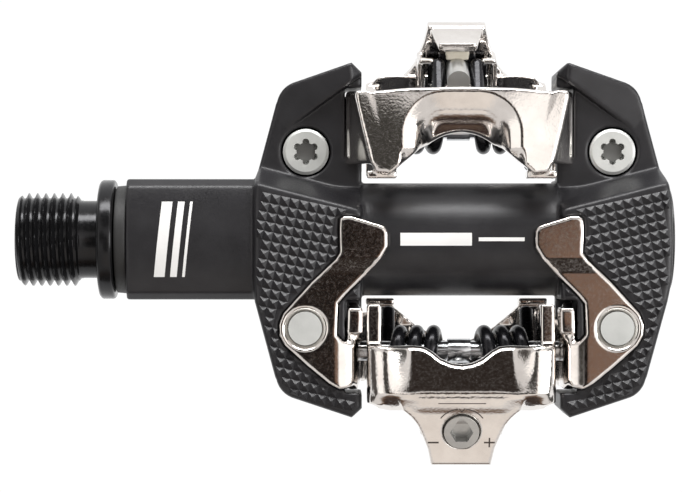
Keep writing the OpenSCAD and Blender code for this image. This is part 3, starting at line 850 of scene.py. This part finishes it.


# ---------- printed stripes, engraved marks, and painted shade in the sockets and along the tails' crease ---

def thin_plate(corners, height, thick, n=10):
    """A thin plate laid over height(x, y), from four (x, y) corners in turn."""
    p = np.array(corners, float)
    s, t = np.meshgrid(np.linspace(0, 1, n), np.linspace(0, 1, n), indexing="ij")
    s, t = s.ravel()[:, None], t.ravel()[:, None]
    xy = (p[0] * (1 - s) + p[1] * s) * (1 - t) + (p[3] * (1 - s) + p[2] * s) * t
    z = height(xy[:, 0], xy[:, 1])
    verts = np.concatenate([np.column_stack([xy, z + thick]), np.column_stack([xy, z - 0.05])])
    faces = []
    for i in range(n - 1):
        for j in range(n - 1):
            q = [i * n + j, (i + 1) * n + j, (i + 1) * n + j + 1, i * n + j + 1]
            faces += [q, [k + n * n for k in q[::-1]]]
    rim = [i * n for i in range(n)] + [(n - 1) * n + j for j in range(1, n)]
    rim += [i * n + n - 1 for i in range(n - 2, -1, -1)] + list(range(n - 2, 0, -1))
    for a, b in zip(rim, rim[1:] + rim[:1]):
        faces.append([b, a, a + n * n, b + n * n])
    return verts, faces


def joined(plates):
    """Several meshes as one."""
    verts, faces, first = [], [], 0
    for v, f in plates:
        verts.append(v)
        faces += [[k + first for k in face] for face in f]
        first += len(v)
    return np.concatenate(verts), faces


def barrel_height(x, y):
    return np.sqrt(BARREL_R ** 2 - y ** 2)


def crown_height(x, y):
    return np.sqrt(CROWN_R ** 2 - y ** 2) - CROWN_R + CROWN_Z


def make_prints():
    """Plain white stripes on the barrel and the neck of both faces."""
    bold, fine, thick = 0.95, 0.28, 0.02
    plates = [thin_plate([(x0, -h), (x1, -h), (x1, h), (x0, h)], barrel_height, thick)
              for x0, x1, h in ((XC - 9, XC + 1.6, bold), (XC + 2.6, XC + 9.4, fine))]
    slant, reach = 1.2, 5.6
    for x0, x1 in ((8.6, 10.2), (11.0, 12.0), (12.8, 13.2)):
        corners = [(x0, -reach), (x1, -reach), (x1 + slant, reach), (x0 + slant, reach)]
        plates.append(thin_plate(corners, crown_height, thick, 14))
    v, faces = joined(plates)
    for name, verts in (("stripes_top", v), ("stripes_bottom", turn(v))):
        ob = mesh_object(name, verts, faces, MATERIALS["print"], smooth=False)
        place(ob, "pedal_body", "body_black")


def make_painted_socket_shades():
    """Painted shade: dark discs at the floors of the six-lobed sockets of the frame screws,
    standing in for the shade down there.
    """
    top = box_mm("front_frame_screws")[1][2]
    core_r, lobe_at, lobe_r, overlap = 1.4, 1.45, 0.52, 0.03
    upper, lower = top - 1.1, top - 1.3
    outline = []
    for k in range(60):
        a = math.radians(6 * k)
        lobe = a % (math.pi / 3) - math.pi / 6
        aside = lobe_at * math.sin(lobe)
        reach = lobe_at * math.cos(lobe) + math.sqrt(max(lobe_r ** 2 - aside ** 2, 0))
        r = max(core_r, reach if abs(aside) < lobe_r else 0) + overlap
        outline.append((r * math.cos(a + math.pi / 6), r * math.sin(a + math.pi / 6)))
    n = len(outline)
    for side in (-1, 1):
        middle = XC + side * SCREW_U
        verts = [(middle + a, SCREW_Y + b, level) for level in (upper, lower) for a, b in outline]
        faces = [list(range(n)), list(range(n, 2 * n))[::-1]]
        faces += [[k, k + n, (k + 1) % n + n, (k + 1) % n] for k in range(n)]
        label = "inner" if side < 0 else "outer"
        for face, v in (("top", np.array(verts)), ("bottom", turn(np.array(verts)))):
            name = f"painted_socket_shade_{face}_{label}"
            ob = mesh_object(name, v, faces, MATERIALS["socket"], smooth=False)
            place(ob, "pedal_body", "zinc")


def make_tail_marks_and_crease_shade():
    """Painted shade along the crease between head and tail, and the engraved arc with its pointer,
    minus and plus, on each sprung claw's tail.
    """
    def bar(u0, u1, a0, a1):
        return [(u0, a0), (u1, a0), (u1, a1), (u0, a1)]

    # the first bar is a dark line painted along the crease where the tail leaves the head, standing
    # for the shade there; the others are engraved marks
    shapes = [bar(-3.5, 3.5, 4.62, 4.74), bar(-4.95, -3.35, -1.95, -1.7)]
    shapes += [bar(3.35, 4.95, -1.95, -1.7), bar(4.03, 4.27, -2.6, -1.05)]
    shapes += [[(-0.5, 3.85), (-0.32, 3.85), (0.09, 3.25), (-0.09, 3.25)],
               [(0.32, 3.85), (0.5, 3.85), (0.09, 3.25), (-0.09, 3.25)]]
    for start, end in ((35, 81), (99, 145)):
        ring = [arc(0, 0, r, start, end, 8) for r in (3.72, 3.88)]
        shapes += [[ring[0][k], ring[1][k], ring[1][k + 1], ring[0][k + 1]] for k in range(8)]
    v, faces = joined([thin_plate(q, lambda x, y: 0 * x, 0.03, 2) for q in shapes])
    u, a, n = v.T

    def in_space(level):
        """The marks' points, the level above the tail's slope."""
        return np.column_stack([XC + u, TAIL[1] + a * TAIL_COS - level * TAIL_SIN,
                                TAIL[2] + a * TAIL_SIN + level * TAIL_COS])

    # step along the slope's normal until the points lie on the claw
    surface = 0 * n
    for _ in range(5):
        surface = surface - claw_solid(*in_space(surface).T)
    world = in_space(surface + n)
    for name, verts, body in (("tail_marks_and_crease_shade_top", world, "top_claw"),
                              ("tail_marks_and_crease_shade_bottom", turn(world), "bottom_claw")):
        place(mesh_object(name, verts, faces, MATERIALS["mark"], smooth=False), body, "chrome")


# ---------- small CAD pieces ----------

NODE_MATERIALS = {
    "spindle_locknut": "zinc", "bearing_spacer": "zinc", "bearing_inner_rings": "bearing",
    "bearing_outer_rings": "bearing", "bearing_balls": "bearing", "needle_shell": "bearing",
    "needle_rollers": "bearing", "inner_seal": "rubber", "end_cap": "cap",
    "end_cap_o_ring": "rubber", "front_frame_screws": "zinc", "rear_frame_screws": "zinc",
    "front_pivot_pin": "bearing", "rear_pivot_pin": "bearing",
    "front_spring_sleeve": "bearing", "rear_spring_sleeve": "bearing",
    "top_tension_screw": "steel", "bottom_tension_screw": "steel",
}


def dress_nodes():
    """Materials and small bevels for the CAD nodes that stay as they are."""
    weld_mm, bevel_mm = 0.002, 0.12
    for node, key in NODE_MATERIALS.items():
        ob = frame["nodes"][node]
        ob.data.materials.clear()
        ob.data.materials.append(MATERIALS[key])
        weld = ob.modifiers.new("weld", "WELD")
        weld.merge_threshold = weld_mm * MM
        edges = ob.modifiers.new("edges", "BEVEL")
        edges.width = bevel_mm * MM
        edges.segments = 2
        edges.limit_method = "ANGLE"
        edges.angle_limit = math.radians(35)


# ---------- studio ----------

def make_camera():
    """The camera straight above the upper face; shown_mm fits across the picture at z 0."""
    distance, shown_mm = 0.38, 103.3333
    data = bpy.data.cameras.new("camera")
    data.sensor_width = 36
    data.lens = distance / (shown_mm * MM) * data.sensor_width
    data.clip_start = 0.01
    ob = bpy.data.objects.new("camera", data)
    ob.location = (36.4 * MM, -1.0 * MM, distance)
    bpy.context.scene.collection.objects.link(ob)
    bpy.context.scene.camera = ob


def softbox(name, where, size, power):
    """A rectangular light that faces the pedal."""
    data = bpy.data.lights.new(name, "AREA")
    data.shape = "RECTANGLE"
    data.size, data.size_y = size
    data.energy = power
    ob = bpy.data.objects.new(name, data)
    ob.location = where
    target = Vector((XC * MM, 0, 0))
    ob.rotation_euler = (target - Vector(where)).to_track_quat("-Z", "Y").to_euler()
    bpy.context.scene.collection.objects.link(ob)


def make_sky():
    """A pale studio with darker and brighter cards around it, given by their directions."""
    world = bpy.data.worlds.new("studio")
    bpy.context.scene.world = world
    world.use_nodes = True
    nodes, links = world.node_tree.nodes, world.node_tree.links
    direction = nodes.new("ShaderNodeTexCoord").outputs["Generated"]
    colour = None
    # azimuth from +X, angle from the zenith, where the card is full and where it ends, colour
    cards = [
        (270, 100, 30, 45, (0.2, 0.13, 0.09)), (270, 106, 26, 38, (0.05, 0.035, 0.03)),
        (0, 96, 34, 42, (0.09, 0.085, 0.08)),
        (180, 96, 34, 42, (0.09, 0.08, 0.075)),
        (90, 43, 15, 26, (0.03, 0.022, 0.018)),
        (166, 17, 9, 13, (0.06, 0.056, 0.05)), (0, 33, 20, 26, (1.5, 1.45, 1.4)),
        (180, 43, 12, 18, (1.4, 1.35, 1.3)), (270, 40, 12, 18, (0.98, 0.9, 0.83)),
        (90, 76, 6, 12, (1.6, 1.58, 1.55)), (270, 13, 9, 13, (0.03, 0.022, 0.018)),
        (0, 0, 6.5, 10, (0.012, 0.009, 0.008)), (-20, 8, 2.5, 6.5, (0.25, 0.15, 0.105)),
    ]
    for azimuth, zenith, inner, outer, paint in cards:
        a, t = math.radians(azimuth), math.radians(zenith)
        dot = nodes.new("ShaderNodeVectorMath")
        dot.operation = "DOT_PRODUCT"
        links.new(direction, dot.inputs[0])
        centre = (math.sin(t) * math.cos(a), math.sin(t) * math.sin(a), math.cos(t))
        dot.inputs[1].default_value = centre
        fade = nodes.new("ShaderNodeMapRange")
        fade.interpolation_type = "SMOOTHSTEP"
        fade.inputs["From Min"].default_value = math.cos(math.radians(outer))
        fade.inputs["From Max"].default_value = math.cos(math.radians(inner))
        links.new(dot.outputs["Value"], fade.inputs["Value"])
        mix = nodes.new("ShaderNodeMixRGB")
        mix.inputs["Color1"].default_value = (0.86, 0.83, 0.81, 1)
        mix.inputs["Color2"].default_value = paint + (1,)
        links.new(fade.outputs["Result"], mix.inputs["Fac"])
        if colour is not None:
            links.new(colour, mix.inputs["Color1"])
        colour = mix.outputs["Color"]
    links.new(colour, nodes["Background"].inputs["Color"])
    nodes["Background"].inputs["Strength"].default_value = 0.9


def make_studio():
    """Sky, two softboxes and an evenly white floor, which takes no shadow."""
    make_sky()
    bpy.context.scene.view_settings.view_transform = "Standard"
    softbox("key_back", (0.1, 0.75, 0.32), (0.9, 0.25), 9)
    softbox("fill_right", (0.75, 0.0, 0.45), (0.3, 0.6), 3)
    m, _, _, shader = new_material("floor")
    shader.inputs["Base Color"].default_value = (0, 0, 0, 1)
    shader.inputs["Specular IOR Level"].default_value = 0
    shader.inputs["Emission Color"].default_value = (1, 1, 1, 1)
    shader.inputs["Emission Strength"].default_value = 1.03
    half, z = 1500, -CLAW_TOP
    corners = [(-half, -half, z), (half, -half, z), (half, half, z), (-half, half, z)]
    mesh_object("floor", corners, [(0, 1, 2, 3)], m)


make_camera()
make_studio()
make_body()
make_knurl()
make_claws()
make_frames()
make_springs()
make_spindle()
make_tension_plates()
make_prints()
make_painted_socket_shades()
make_tail_marks_and_crease_shade()
dress_nodes()
